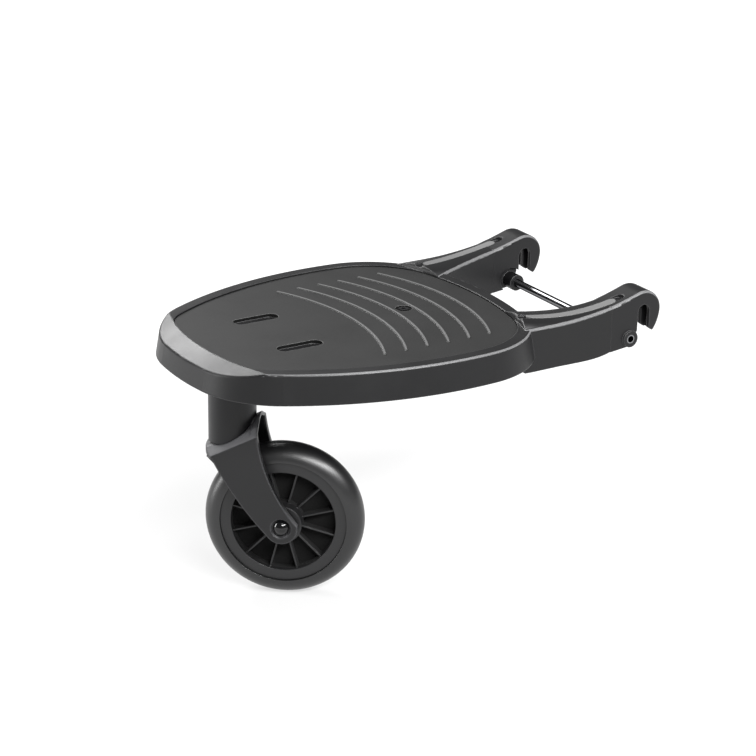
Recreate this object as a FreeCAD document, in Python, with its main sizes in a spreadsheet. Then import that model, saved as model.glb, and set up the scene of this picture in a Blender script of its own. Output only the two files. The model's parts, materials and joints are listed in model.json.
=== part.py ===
import FreeCAD, Part
import math
import os
import Sketcher
from FreeCAD import Vector

# A ride-on board that hooks onto a stroller's axle bar and rolls on one swivelling wheel.
# Origin: the axis of the bar in the two hooks, midway between the arms.
# +X to the right, +Y forward to the stroller, +Z up. Millimetres.

doc = FreeCAD.newDocument("buggy_board")
sizes = doc.addObject("Spreadsheet::Sheet", "sizes")

DRIVING = [
    # deck, seen from above
    ("deck_half_width", 118, "half of the deck's greatest width, at the rim"),
    ("widest_y", -176, "where the deck is widest"),
    ("side_radius", 270, "bow of each long side"),
    ("rear_y", -346, "rearmost point of the deck"),
    ("rear_radius", 235, "bow of the rear edge"),
    ("rear_corner", 70, "rear corner radius"),
    ("front_y", -82.5, "foremost point of the deck between the arms"),
    ("front_radius", 280, "bow of the front edge"),
    ("front_corner", 72, "front corner radius"),
    # deck, heights
    ("rim_top", 2.8, "top of the rim"),
    ("skirt_bottom", -19.5, "lower edge of the skirt"),
    ("skirt_flare", 3.6, "how far the skirt's lower edge stands out past the rim"),
    ("rim_edge", 2.0, "rounding of the rim's outer edge"),
    ("wall", 3.0, "thickness of the skirt"),
    ("deck_plate", 3.0, "thickness of the plate under the tread panel"),
    ("band_width", 14.0, "width of the sloping band behind the panel"),
    ("band_drop", 6.0, "how far that band falls to the rear edge"),
    # stiffening under the deck
    ("web_thickness", 2.2, "thickness of the stiffening webs"),
    ("web_bottom", -15.5, "lower edge of the stiffening webs"),
    ("web_first_y", -138, "foremost cross web"),
    ("web_pitch", 36, "spacing of the cross webs"),
    ("web_count", 4, "number of cross webs"),
    ("web_side_x", 48, "place of the two long webs"),
    # tread panel
    ("rim_width", 10.0, "rim beside the panel"),
    ("rim_front", 10.0, "rim in front of the panel"),
    ("panel_top", 1.6, "top of the tread panel"),
    ("panel_thickness", 2.5, "thickness of the tread panel"),
    ("panel_rear_corner", 30, "rear corner radius of the panel"),
    ("panel_front_corner", 62, "front corner radius of the panel"),
    ("seam", 0.5, "gap round the panel"),
    ("rib_half_chord", 79.5, "half of a tread rib's span"),
    ("rib_radius", 180, "bow of the tread ribs"),
    ("rib_first_y", -204.8, "crest of the rearmost tread rib"),
    ("rib_pitch", 18.15, "spacing of the tread ribs"),
    ("rib_count", 6, "number of tread ribs"),
    ("rib_width", 1.7, "width of a tread rib"),
    ("rib_height", 0.9, "height of a tread rib"),
    ("slot_x", 33.2, "slot centre from the middle"),
    ("slot_y", -267.5, "slot centre along the deck"),
    ("slot_length", 37, "slot length"),
    ("slot_width", 12.5, "slot width"),
    ("tread_screw_y", -158, "tread screw on the centre line"),
    ("tread_recess_radius", 6.5, "round recess for the screw"),
    ("tread_recess_depth", 1.0, "depth of that recess"),
    ("tread_head_radius", 4.0, "tread screw head"),
    ("tread_head_height", 0.9, "tread screw head height"),
    ("tread_shank_radius", 2.0, "tread screw shank"),
    ("tread_shank_length", 12.0, "tread screw length under the head"),
    ("cross_half_width", 0.5, "half width of the cross in that head"),
    ("cross_reach", 2.2, "reach of that cross from the screw's axis"),
    ("screw_boss_wall", 2.6, "plastic round a screw under the deck"),
    # arms
    ("arm_inset", 26.2, "how far an arm's outer face lies in from the deck's widest place"),
    ("arm_width", 24, "arm width at the hook"),
    ("flare_y", -24, "where the arm starts to widen towards the deck"),
    ("flare_radius", 120, "bow of the arm's inner side"),
    ("arm_root_y", -108, "where the arm starts, inside the deck"),
    ("nose_length", 4.8, "length of the arm's rounded root, in front of the tread panel"),
    ("nose_height", 4.6, "height of that rounded root above the rim"),
    ("arm_top", 3.6, "arm's upper edge at the deck"),
    ("rise_y", -85, "where the upper edge starts to rise"),
    ("rise_radius", 315, "bow of the rising upper edge"),
    ("crown_radius", 70, "crown across the arm's top"),
    ("arm_edge", 2.5, "rounding of the arm's and the hook's upper edges"),
    ("arm_bottom", -30.8, "arm's lower edge"),
    ("arm_step", 0.2, "how far the arm's faces lie inside those of the hook"),
    ("belly_y", -46, "where the lower edge starts to rise"),
    ("belly_slope", 0.19, "rise of the lower edge per millimetre"),
    ("plate", 3.2, "thickness of each of the three hook plates and of the skin over them"),
    ("channel_roof", -5, "roof of the channels under the arms"),
    ("channel_rear", -101.5, "rear end of those channels"),
    ("channel_front", -28, "front end of those channels"),
    ("core_rear", -95.2, "rear end of the core under the arm's flared root"),
    ("core_front", -63.7, "front tip of that core"),
    ("core_wall", 4.8, "plastic between that core and the arm's inner side"),
    # hooks
    ("hook_radius", 5.5, "round seat for the stroller's axle bar"),
    ("head_radius", 16.4, "hook head"),
    ("head_turn", 12, "angle below level at which the head's round front ends"),
    ("head_back", 5.5, "where the rising edge meets the head, behind the seat"),
    ("hook_rear", -30, "rear end of the hook profile"),
    ("mouth_depth", 14, "length of the hook's straight throat"),
    ("tip_front", 11.5, "front of the hook's tip"),
    ("tip_bottom", -16.2, "lowest point of the hook's tip"),
    ("tip_rise", 0.9, "how much higher the tip's front corner lies"),
    ("tip_bow", 30, "bow of the tip's front"),
    # cross rod
    ("rod_y", -12.3, "cross rod axis"),
    ("rod_z", -19.7, "cross rod axis"),
    ("rod_radius", 3.25, "cross rod"),
    ("rod_gap", 0.03, "clearance of the rod in its bosses"),
    ("boss_radius", 6.6, "bosses for the rod"),
    ("boss_reach", 8.0, "how far a boss reaches in from the arm's inner face"),
    ("boss_recess", 3.6, "width of the recess round a boss in the arm's inner face"),
    ("boss_stand", 1.5, "how far a boss stands out of the arm's outer face"),
    ("boss_front_angle", 30, "where the hook's throat edge meets the boss, above level"),
    ("boss_rear_angle", 15, "where the arm's lower edge meets the boss, behind upright"),
    ("rod_end_depth", 7.5, "depth of the end screw's head in the boss"),
    ("rod_thread_radius", 2.0, "thread in the rod's ends"),
    ("rod_thread_length", 12, "thread length in the rod's ends"),
    ("socket_radius", 2.15, "hexagon socket of the end screws, across corners"),
    ("socket_depth", 4, "depth of that socket"),
    # inlay strips
    ("inlay_width", 7.6, "light strip on the arm"),
    ("inlay_offset", 2.5, "how far the strip lies outside the arm's middle"),
    ("inlay_thickness", 1.4, "thickness of the strip"),
    ("inlay_sink", 0.3, "how far the strip lies below the crown"),
    ("inlay_gap", 0.25, "gap round the strip"),
    ("inlay_rear_y", -94.5, "rear end of the strip"),
    ("inlay_front_y", -21, "front end of the strip"),
    ("inlay_end_gap", 3.5, "length of bare groove past each end of the strip"),
    # swivel housing
    ("swivel_y", -305.6, "swivel axis"),
    ("flange_top", -13.5, "seat of the housing under the deck"),
    ("flange_thickness", 4.5, "housing flange"),
    ("flange_radius", 29, "housing flange"),
    ("tube_radius", 17.9, "stem tube"),
    ("tube_bottom", -75.0, "lower end of the stem tube"),
    ("nut_well_radius", 14, "room for the nut in the top of the housing"),
    ("nut_well_depth", 14, "depth of that room"),
    ("bush_radius", 10.5, "outside of a swivel bush"),
    ("bush_length", 14, "length of a swivel bush"),
    ("bush_fit", 0.02, "clearance of a bush in its seat"),
    ("screw_circle", 24, "circle of the housing screws"),
    ("screw_count", 4, "number of housing screws"),
    ("screw_radius", 2.0, "housing screw shank"),
    ("screw_head_radius", 3.6, "housing screw head"),
    ("screw_head_height", 2.4, "housing screw head height"),
    ("screw_grip", 8.5, "housing screw length in the deck"),
    ("screw_fit", 0.05, "clearance round a screw"),
    # caster
    ("caster_angle", -37, "turn of the caster at rest"),
    ("trail", 39.2, "axle behind the swivel axis"),
    ("axle_z", -135.6, "axle height"),
    ("pin_radius", 6.0, "kingpin"),
    ("running_gap", 0.05, "running clearance of a shaft in its bush"),
    ("thrust_thickness", 1.2, "thrust washer"),
    ("thrust_radius", 16.5, "thrust washer"),
    ("pin_grip", 5.0, "kingpin length in the crown"),
    ("pin_end", 3.0, "kingpin length past its nut"),
    ("pin_washer_radius", 11.5, "washer under the kingpin nut"),
    ("pin_washer_thickness", 1.6, "washer under the kingpin nut"),
    ("nut_radius", 10.4, "kingpin nut, across corners"),
    ("nut_height", 8.0, "kingpin nut"),
    # fork
    ("fork_half_width", 24.5, "outer face of a leg"),
    ("leg_thickness", 5.5, "thickness of a leg"),
    ("crown_shoulder", -13.0, "front corner of the crown at a leg"),
    ("crown_rear", 21.2, "trailing face of the crown"),
    ("crown_bow", 49, "bow of the crown's front"),
    ("crown_base", -82.5, "lower end of the crown block"),
    ("arch_top", -53.4, "top of the arch at the trailing side"),
    ("arch_spring", -63.5, "where the arch springs from the legs, at the trailing side"),
    ("side_slope", 0.5, "fall of the crown's sides towards the front, per millimetre"),
    ("arch_knee_x", 9.5, "half width of the arch's round top"),
    ("arch_knee_drop", 2.6, "height of that round top"),
    ("arch_wall", 3.2, "thickness of the arch"),
    ("arch_depth", 5.2, "depth of the arch behind its trailing edge"),
    ("ledge_front", -79, "crown's upper edge at its front"),
    ("tube_gap", 0.4, "gap between the stem tube and the crown"),
    ("leg_front_bow", 260, "bow of a leg's leading edge"),
    ("leg_rear_bow", 135, "bow of a leg's trailing edge"),
    ("leg_shoulder_z", -80.5, "where a leg's leading edge starts"),
    ("leg_neck_z", -60, "upper end of a leg's trailing edge, at the crown"),
    ("leg_end_radius", 12.3, "round end of a leg"),
    ("leg_lead_angle", 215, "where the leading edge meets the round end"),
    ("leg_tail_angle", 8, "where the trailing edge meets the round end"),
    ("wheel_gap", 3.0, "gap between the tyre and the crown"),
    ("apron_front", -16.6, "front of the crown's apron, at its upper end"),
    ("apron_foot", -5.3, "front of that apron, at its foot"),
    ("apron_drop", 12, "height of that apron below the crown block"),
    # axle
    ("axle_radius", 4.0, "axle pin"),
    ("axle_fit", 0.03, "clearance of the axle pin in a leg"),
    ("cap_radius", 5.8, "domed axle cap"),
    ("cap_height", 4.6, "height of the axle cap"),
    ("cap_flat", 1.2, "height of the cap's straight side"),
    ("cap_well_radius", 7.4, "counterbore round the cap"),
    ("cap_well_depth", 2.2, "depth of that counterbore"),
    ("axle_in_cap", 2.6, "axle length inside a cap"),
    # wheel
    ("wheel_radius", 60, "wheel"),
    ("tyre_section", 13.0, "tyre section radius"),
    ("tyre_seat", 47.5, "tyre seat on the rim"),
    ("tyre_fit", 0.03, "clearance of the tyre on its seat"),
    ("rim_inner", 39.3, "inside of the rim ring"),
    ("rim_half", 11.3, "half width of the rim ring"),
    ("web_half", 1.5, "half thickness of the wheel's web"),
    ("hub_radius", 14.5, "hub"),
    ("hub_half", 17.0, "half length of the hub"),
    ("spoke_count", 12, "ribs on each side of the web"),
    ("spoke_thickness", 1.3, "rib thickness"),
    ("spoke_turn", 15, "turn of the ribs at rest"),
    ("spoke_half", 8.6, "rib edge from the wheel's middle plane"),
    ("wheel_bush_radius", 6.5, "bush in the hub"),
    ("wheel_bush_length", 11, "bush length"),
    ("washer_radius", 9, "washer beside the hub"),
    ("washer_play", 0.25, "play on each side of that washer"),
]

for row, (alias, number, note) in enumerate(DRIVING, 1):
    sizes.set(f"A{row}", note)
    sizes.set(f"B{row}", str(number))
    sizes.setAlias(f"B{row}", alias)
doc.recompute()


def value(expression):
    """Number that an expression over the sheet gives."""
    return float(sizes.evalExpression(expression))


def new_body(label):
    """Empty body whose label names its file."""
    body = doc.addObject("PartDesign::Body", label)
    body.Label = label
    return body


def plane_of(body, role):
    """One of a body's own origin planes or axes."""
    return [feature for feature in body.Origin.OriginFeatures if feature.Role == role][0]


def sketch_on(body, name, role, shift="0"):
    """Empty sketch on an origin plane, moved along that plane's normal."""
    sketch = body.newObject("Sketcher::SketchObject", name)
    sketch.AttachmentSupport = [(plane_of(body, role), "")]
    sketch.MapMode = "FlatFace"
    sketch.setExpression("AttachmentOffset.Base.z", shift)
    return sketch


def bind(sketch, expression, kind, *where):
    """Dimension whose number follows the sheet."""
    index = sketch.addConstraint(Sketcher.Constraint(kind, *where, value(expression)))
    sketch.setExpression(f"Constraints[{index}]", expression)


def arc_between(start, end, turn, radius):
    """Arc of under a half circle from start to end; turn says to which side its centre lies."""
    chord = end - start
    reach = math.sqrt(max(radius ** 2 - chord.Length ** 2 / 4, 0))
    side = Vector(-chord.y, chord.x, 0) / chord.Length
    centre = (start + end) / 2 + side * (reach if turn == "left" else -reach)
    first, last = (start, end) if turn == "left" else (end, start)
    angles = [math.atan2(point.y - centre.y, point.x - centre.x) for point in (first, last)]
    circle = Part.Circle(centre, Vector(0, 0, 1), radius)
    return Part.ArcOfCircle(circle, angles[0], angles[1])


def loop(sketch, corners):
    """Closed outline: a corner is (x, y), or (x, y, turn, radius) where an arc leaves it."""
    points = [Vector(value(corner[0]), value(corner[1]), 0) for corner in corners]
    first = sketch.GeometryCount
    ends = []
    for here, corner in enumerate(corners):
        start = points[here]
        end = points[(here + 1) % len(points)]
        if len(corner) == 2:
            sketch.addGeometry(Part.LineSegment(start, end))
            ends.append((1, 2))
        else:
            sketch.addGeometry(arc_between(start, end, corner[2], value(corner[3])))
            ends.append((1, 2) if corner[2] == "left" else (2, 1))
    for here, corner in enumerate(corners):
        before = (here - 1) % len(corners)
        start = (first + here, ends[here][0])
        sketch.addConstraint(Sketcher.Constraint("Coincident", first + before, ends[before][1], *start))
        bind(sketch, corner[0], "DistanceX", -1, 1, *start)
        bind(sketch, corner[1], "DistanceY", -1, 1, *start)
        if len(corner) == 4:
            bind(sketch, corner[3], "Radius", first + here)


def ring(sketch, x, y, radius):
    """Full circle."""
    circle = Part.Circle(Vector(value(x), value(y), 0), Vector(0, 0, 1), value(radius))
    index = sketch.addGeometry(circle)
    bind(sketch, x, "DistanceX", -1, 1, index, 3)
    bind(sketch, y, "DistanceY", -1, 1, index, 3)
    bind(sketch, radius, "Radius", index)


def box_loop(sketch, low_x, low_y, high_x, high_y):
    """Rectangle between two corners."""
    loop(sketch, [(low_x, low_y), (high_x, low_y), (high_x, high_y), (low_x, high_y)])


def slot_loop(sketch, x, y, length, width):
    """Slot along Y with round ends."""
    left = f"{x} - {width} / 2"
    right = f"{x} + {width} / 2"
    low = f"{y} - {length} / 2 + {width} / 2"
    high = f"{y} + {length} / 2 - {width} / 2"
    radius = f"{width} / 2"
    loop(sketch, [
        (right, low),
        (right, high, "left", radius),
        (x, f"{y} + {length} / 2", "left", radius),
        (left, high),
        (left, low, "left", radius),
        (x, f"{y} - {length} / 2", "left", radius),
    ])


def hexagon_loop(sketch, radius):
    """Hexagon about the sketch's origin, radius across corners."""
    loop(sketch, [(f"{radius} * cos({60 * k} deg)", f"{radius} * sin({60 * k} deg)") for k in range(6)])


def grow(body, kind, name, sketch, length, reverse=False):
    """Pad or Pocket of one sketch by a length. A pocket cuts against its sketch's normal."""
    feature = body.newObject("PartDesign::" + kind, name)
    feature.Profile = sketch
    feature.setExpression("Length", length)
    feature.Reversed = reverse
    return feature


def spin(body, kind, name, sketch, axis):
    """Revolution or Groove of one sketch, a full turn about one of its axes."""
    feature = body.newObject("PartDesign::" + kind, name)
    feature.Profile = sketch
    feature.ReferenceAxis = (sketch, [axis])
    feature.Angle = 360
    return feature


def loft(body, kind, name, sketches):
    """Smooth skin through sketches in order."""
    feature = body.newObject("PartDesign::" + kind, name)
    feature.Profile = sketches[0]
    feature.Sections = sketches[1:]
    feature.Ruled = False
    return feature


def mirror(body, name, originals, role):
    """Copy features to the other side of an origin plane."""
    feature = body.newObject("PartDesign::Mirrored", name)
    feature.Originals = originals
    feature.MirrorPlane = (plane_of(body, role), [""])
    body.Tip = feature
    return feature


def turned(label, corners, axis):
    """Round piece: a profile in the XZ plane turned about X (H_Axis) or Z (V_Axis)."""
    body = new_body(label)
    sketch = sketch_on(body, label + "_profile", "XZ_Plane")
    loop(sketch, corners)
    return body, spin(body, "Revolution", label + "_turned", sketch, axis)


def ring_profile(inner, outer, low, high):
    """Profile of a plain ring or tube about Z."""
    return [(inner, low), (outer, low), (outer, high), (inner, high)]


def sleeve_profile(inner, outer, low, high):
    """Profile of a plain ring or tube about X."""
    return [(low, inner), (high, inner), (high, outer), (low, outer)]


def at_swivel(body):
    """Stand a piece on the swivel axis."""
    body.setExpression("Placement.Base.y", "sizes.swivel_y")


def on_caster(body):
    """Stand a piece on the swivel axis and turn it with the caster."""
    at_swivel(body)
    body.Placement.Rotation = FreeCAD.Rotation(Vector(0, 0, 1), value("sizes.caster_angle"))
    body.setExpression("Placement.Rotation.Angle", "sizes.caster_angle * 1 deg")


def on_axle(body):
    """Stand a piece on the axle and turn it with the caster."""
    body.Placement.Rotation = FreeCAD.Rotation(Vector(0, 0, 1), value("sizes.caster_angle"))
    body.setExpression("Placement.Rotation.Angle", "sizes.caster_angle * 1 deg")
    body.setExpression("Placement.Base.x", "-sin(sizes.caster_angle * 1 deg) * sizes.trail")
    body.setExpression("Placement.Base.y", "sizes.swivel_y + cos(sizes.caster_angle * 1 deg) * sizes.trail")
    body.setExpression("Placement.Base.z", "sizes.axle_z")


def meet(first, second, high):
    """Where two circles (centre, radius) cross on the +X side; high picks the upper crossing."""
    gap = second[0] - first[0]
    along = (gap.Length ** 2 + first[1] ** 2 - second[1] ** 2) / (2 * gap.Length)
    across = math.sqrt(first[1] ** 2 - along ** 2)
    step = gap / gap.Length
    middle = first[0] + step * along
    side = Vector(-step.y, step.x, 0) * across
    choices = sorted((middle + side, middle - side), key=lambda point: point.y)
    return choices[1] if high else choices[0]


def deck_outline(sketch, rear, side, front, rear_corner, front_corner):
    """Deck outline set in from the rim by three insets: four bows joined by round corners."""
    side_bow = f"sizes.side_radius - {side}"
    bows = {
        "rear": ("0", "sizes.rear_y + sizes.rear_radius", f"sizes.rear_radius - {rear}"),
        "right": ("sizes.deck_half_width - sizes.side_radius", "sizes.widest_y", side_bow),
        "front": ("0", "sizes.front_y - sizes.front_radius", f"sizes.front_radius - {front}"),
        "left": ("sizes.side_radius - sizes.deck_half_width", "sizes.widest_y", side_bow),
    }
    circles = {name: (Vector(value(x), value(y), 0), value(r)) for name, (x, y, r) in bows.items()}
    corners = {}
    for end, radius, high in (("rear", rear_corner, False), ("front", front_corner, True)):
        number = value(radius)
        inner_end = (circles[end][0], circles[end][1] - number)
        inner_side = (circles["right"][0], circles["right"][1] - number)
        centre = meet(inner_end, inner_side, high)
        corners[end + " right"] = (centre, number)
        corners[end + " left"] = (Vector(-centre.x, centre.y, 0), number)
    circles.update(corners)
    order = ["rear", "rear right", "right", "front right", "front", "front left", "left", "rear left"]
    joints = []
    for here, after in zip(order, order[1:] + order[:1]):
        bow, corner = (here, after) if here in bows else (after, here)
        away = circles[corner][0] - circles[bow][0]
        joints.append(circles[bow][0] + away / away.Length * circles[bow][1])
    for index, name in enumerate(order):
        centre, radius = circles[name]
        start, end = joints[index - 1], joints[index]
        first = math.atan2(start.y - centre.y, start.x - centre.x)
        last = math.atan2(end.y - centre.y, end.x - centre.x)
        sketch.addGeometry(Part.ArcOfCircle(Part.Circle(centre, Vector(0, 0, 1), radius), first, last))
    for index, name in enumerate(order):
        sketch.addConstraint(Sketcher.Constraint("Tangent", index, 2, (index + 1) % len(order), 1))
        if name in bows:
            bind(sketch, bows[name][0], "DistanceX", -1, 1, index, 3)
            bind(sketch, bows[name][1], "DistanceY", -1, 1, index, 3)
            bind(sketch, bows[name][2], "Radius", index)
        else:
            bind(sketch, rear_corner if name.startswith("rear") else front_corner, "Radius", index)


# Arm form at a place y along it

ARM_OUTER = "(sizes.deck_half_width - sizes.arm_inset)"
ARM_INNER = f"({ARM_OUTER} - sizes.arm_width)"
BOSS_INNER = f"({ARM_INNER} - sizes.boss_reach)"
STATIONS = 5
AXIS_LENGTH = 10


def arm_inner_at(y):
    """Inner side of the arm, which bows inwards towards the deck."""
    return f"({ARM_INNER} - max(0; sizes.flare_y - ({y})) ^ 2 / (2 * sizes.flare_radius))"


def arm_top_at(y):
    """Upper edge of the arm, level and then rising on a bow."""
    return f"(sizes.arm_top + max(0; ({y}) - sizes.rise_y) ^ 2 / (2 * sizes.rise_radius))"


def arm_bottom_at(y):
    """Lower edge of the arm, level and then rising in a straight line."""
    return f"(sizes.arm_bottom + max(0; ({y}) - sizes.belly_y) * sizes.belly_slope)"


def crown_at(y):
    """How far the crown stands above the arm's upper edges."""
    half = f"(({ARM_OUTER} - {arm_inner_at(y)}) / 2 - sizes.arm_edge)"
    return f"(sizes.crown_radius - sqrt(sizes.crown_radius ^ 2 - {half} ^ 2))"


def station(low, high, index):
    """Place of one of the arm's evenly spaced sections."""
    return f"({low} + ({high} - {low}) * {index} / {STATIONS - 1})"


def arm_section(body, name, y):
    """Cross-section of the right arm: flat sides and bottom, crowned top with round edges."""
    sketch = sketch_on(body, name, "XZ_Plane", f"-({y})")
    inner = f"({arm_inner_at(y)} + sizes.arm_step)"
    outer = f"({ARM_OUTER} - sizes.arm_step)"
    low = f"({arm_bottom_at(y)} + sizes.arm_step)"
    top = f"({arm_top_at(y)} - sizes.arm_step)"
    loop(sketch, [
        (inner, low),
        (outer, low),
        (outer, f"{top} - sizes.arm_edge", "left", "sizes.arm_edge"),
        (f"{outer} - sizes.arm_edge", top, "left", "sizes.crown_radius"),
        (f"{inner} + sizes.arm_edge", top, "left", "sizes.arm_edge"),
        (inner, f"{top} - sizes.arm_edge"),
    ])
    return sketch


def strip_middle(y):
    """Middle line of the light strip."""
    return f"(({ARM_OUTER} + {arm_inner_at(y)}) / 2 + sizes.inlay_offset)"


def strip_section(body, name, y, side, gap, low, high):
    """Cross-section of the strip, or of its groove, between two depths below the crown."""
    sketch = sketch_on(body, name, "XZ_Plane", f"-({y})")
    middle = f"({side}) * {strip_middle(y)}"
    half = f"(sizes.inlay_width / 2 + {gap})"
    crest = f"({arm_top_at(y)} + {crown_at(y)})"
    box_loop(sketch, f"{middle} - {half}", f"{crest} - ({low})", f"{middle} + {half}", f"{crest} - ({high})")
    return sketch


def spin_axis(sketch, place):
    """Upright construction line, the first axis of a sketch, at a place along its first direction."""
    start = Vector(value(place), 0, 0)
    index = sketch.addGeometry(Part.LineSegment(start, start + Vector(0, AXIS_LENGTH, 0)), True)
    sketch.addConstraint(Sketcher.Constraint("Vertical", index))
    bind(sketch, place, "DistanceX", -1, 1, index, 1)
    bind(sketch, "0", "DistanceY", -1, 1, index, 1)
    sketch.addConstraint(Sketcher.Constraint("DistanceY", index, 1, index, 2, AXIS_LENGTH))


# Deck shell: one moulding with skirt, arms and hooks, hollow from below

deck = new_body("deck_shell")

deck_sketch = sketch_on(deck, "deck_plan", "XY_Plane", "sizes.rim_top")
deck_outline(deck_sketch, "0", "0", "0", "sizes.rear_corner", "sizes.front_corner")
deck_pad = grow(deck, "Pad", "deck_block", deck_sketch, "sizes.rim_top - sizes.skirt_bottom", True)
deck_pad.setExpression("TaperAngle", "atan(sizes.skirt_flare / (sizes.rim_top - sizes.skirt_bottom))")
# The rear edge falls away in a conical band about the rear bow's own axis
band_sketch = sketch_on(deck, "rear_band", "YZ_Plane")
band_inner = "sizes.rear_y + sizes.band_width"
band_outer = "sizes.rear_y - sizes.band_width"
loop(band_sketch, [
    (band_inner, "sizes.rim_top"),
    (band_outer, "sizes.rim_top - 2 * sizes.band_drop"),
    (band_outer, "sizes.rim_top + sizes.band_drop"),
    (band_inner, "sizes.rim_top + sizes.band_drop"),
])
spin_axis(band_sketch, "(sizes.rear_y + sizes.rear_radius)")
band_cut = spin(deck, "Groove", "rear_band_cut", band_sketch, "Axis0")

# Every upper outer edge is rounded: those between the steep skirt and the flat or sloping top
doc.recompute()
upper_edges = []
for number, edge in enumerate(band_cut.Shape.Edges, 1):
    middle = edge.valueAt((edge.FirstParameter + edge.LastParameter) / 2)
    if middle.z > value("sizes.rim_top - 2 * sizes.band_drop"):
        faces = [face for face in band_cut.Shape.Faces if any(edge.isSame(other) for other in face.Edges)]
        normals = [face.normalAt(*face.Surface.parameter(middle)) for face in faces]
        steep = [abs(normal.z) < math.cos(math.pi / 4) for normal in normals]
        if any(steep) and not all(steep):
            upper_edges.append(f"Edge{number}")
rim_round = deck.newObject("PartDesign::Fillet", "rim_round")
rim_round.Base = (band_cut, upper_edges)
rim_round.setExpression("Radius", "sizes.rim_edge")

# Hollow underside
RECESS_FLOOR = "(sizes.panel_top - sizes.panel_thickness)"
ROOF = f"({RECESS_FLOOR} - sizes.deck_plate)"
hollow_sketch = sketch_on(deck, "hollow_plan", "XY_Plane", "sizes.skirt_bottom")
deck_outline(hollow_sketch, "sizes.wall", "sizes.wall", "sizes.wall",
             "sizes.rear_corner - sizes.wall", "sizes.front_corner - sizes.wall")
grow(deck, "Pocket", "hollow", hollow_sketch, f"{ROOF} - sizes.skirt_bottom", True)

# Stiffening webs: cross webs end in the side walls, long webs in the front and rear walls
web_sketch = sketch_on(deck, "web_plan", "XY_Plane", "sizes.web_bottom")
web_depth = f"{ROOF} - sizes.web_bottom"
half_web = "sizes.web_thickness / 2"
for k in range(int(value("sizes.web_count"))):
    cross = sketch_on(deck, f"cross_web_{k}_plan", "XY_Plane", "sizes.web_bottom")
    place = f"(sizes.web_first_y - {k} * sizes.web_pitch)"
    reach = ("(sizes.deck_half_width - sizes.side_radius + sqrt((sizes.side_radius - sizes.wall / 2) ^ 2"
             f" - ({place} - sizes.widest_y) ^ 2))")
    box_loop(cross, f"-{reach}", f"{place} - {half_web}", reach, f"{place} + {half_web}")
    grow(deck, "Pad", f"cross_web_{k}", cross, web_depth)
front_reach = ("sizes.front_y - sizes.front_radius"
               " + sqrt((sizes.front_radius - sizes.wall / 2) ^ 2 - sizes.web_side_x ^ 2)")
rear_reach = ("sizes.rear_y + sizes.rear_radius"
              " - sqrt((sizes.rear_radius - sizes.wall - sizes.web_thickness) ^ 2 - sizes.web_side_x ^ 2)")
for side in (-1, 1):
    box_loop(web_sketch, f"{side} * sizes.web_side_x - {half_web}", rear_reach,
             f"{side} * sizes.web_side_x + {half_web}", front_reach)
grow(deck, "Pad", "long_webs", web_sketch, web_depth)

# Seat for the swivel housing, and the boss for the tread screw
seat_sketch = sketch_on(deck, "housing_seat_plan", "XY_Plane", "sizes.flange_top")
ring(seat_sketch, "0", "sizes.swivel_y", "sizes.flange_radius")
ring(seat_sketch, "0", "sizes.swivel_y", "sizes.screw_circle - sizes.screw_radius - sizes.screw_boss_wall")
grow(deck, "Pad", "housing_seat", seat_sketch, f"{ROOF} - sizes.flange_top")

TREAD_BOTTOM = "(sizes.panel_top - sizes.tread_recess_depth - sizes.tread_shank_length)"
boss_sketch = sketch_on(deck, "tread_boss_plan", "XY_Plane", TREAD_BOTTOM)
ring(boss_sketch, "0", "sizes.tread_screw_y", "sizes.tread_shank_radius + sizes.screw_boss_wall")
grow(deck, "Pad", "tread_boss", boss_sketch, f"{ROOF} - {TREAD_BOTTOM}")

# Right hook, then the arm that joins it to the deck, then the boss
hook_sketch = sketch_on(deck, "hook_profile", "YZ_Plane", ARM_INNER)
head_turn = "(sizes.head_turn * 1 deg)"
boss_front = "(sizes.boss_front_angle * 1 deg)"
boss_rear = "(sizes.boss_rear_angle * 1 deg)"
boss_top = (f"sizes.rod_y + sizes.boss_radius * cos{boss_front}",
            f"sizes.rod_z + sizes.boss_radius * sin{boss_front}")
boss_low = (f"sizes.rod_y - sizes.boss_radius * sin{boss_rear}",
            f"sizes.rod_z - sizes.boss_radius * cos{boss_rear}")
loop(hook_sketch, [
    ("sizes.hook_rear", arm_top_at("sizes.hook_rear"), "left", "sizes.rise_radius"),
    ("-sizes.head_back", "sqrt(sizes.head_radius ^ 2 - sizes.head_back ^ 2)", "right", "sizes.head_radius"),
    (f"sizes.head_radius * cos{head_turn}", f"-sizes.head_radius * sin{head_turn}", "right", "sizes.tip_bow"),
    ("sizes.tip_front", "sizes.tip_bottom + sizes.tip_rise"),
    ("(sizes.tip_front + sizes.hook_radius) / 2", "sizes.tip_bottom"),
    ("sizes.hook_radius", "-sizes.mouth_depth"),
    ("sizes.hook_radius", "0", "left", "sizes.hook_radius"),
    ("0", "sizes.hook_radius", "left", "sizes.hook_radius"),
    ("-sizes.hook_radius", "0"),
    ("-sizes.hook_radius", "-sizes.mouth_depth"),
    (*boss_top, "right", "sizes.boss_radius"),
    boss_low,
    ("sizes.hook_rear", arm_bottom_at("sizes.hook_rear")),
])
hook_pad = grow(deck, "Pad", "hook", hook_sketch, "sizes.arm_width")

doc.recompute()

hook_edges = []
rounded = [value("sizes.rise_radius"), value("sizes.head_radius"), value("sizes.tip_bow")]
for number, edge in enumerate(hook_pad.Shape.Edges, 1):
    if isinstance(edge.Curve, Part.Circle) and edge.BoundBox.XLength < 0.001:
        if any(abs(edge.Curve.Radius - radius) < 0.001 for radius in rounded):
            if edge.BoundBox.XMin > value(BOSS_INNER):
                hook_edges.append(f"Edge{number}")
hook_round = deck.newObject("PartDesign::Fillet", "hook_round")
hook_round.Base = (hook_pad, hook_edges)
hook_round.setExpression("Radius", "sizes.arm_edge")

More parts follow.
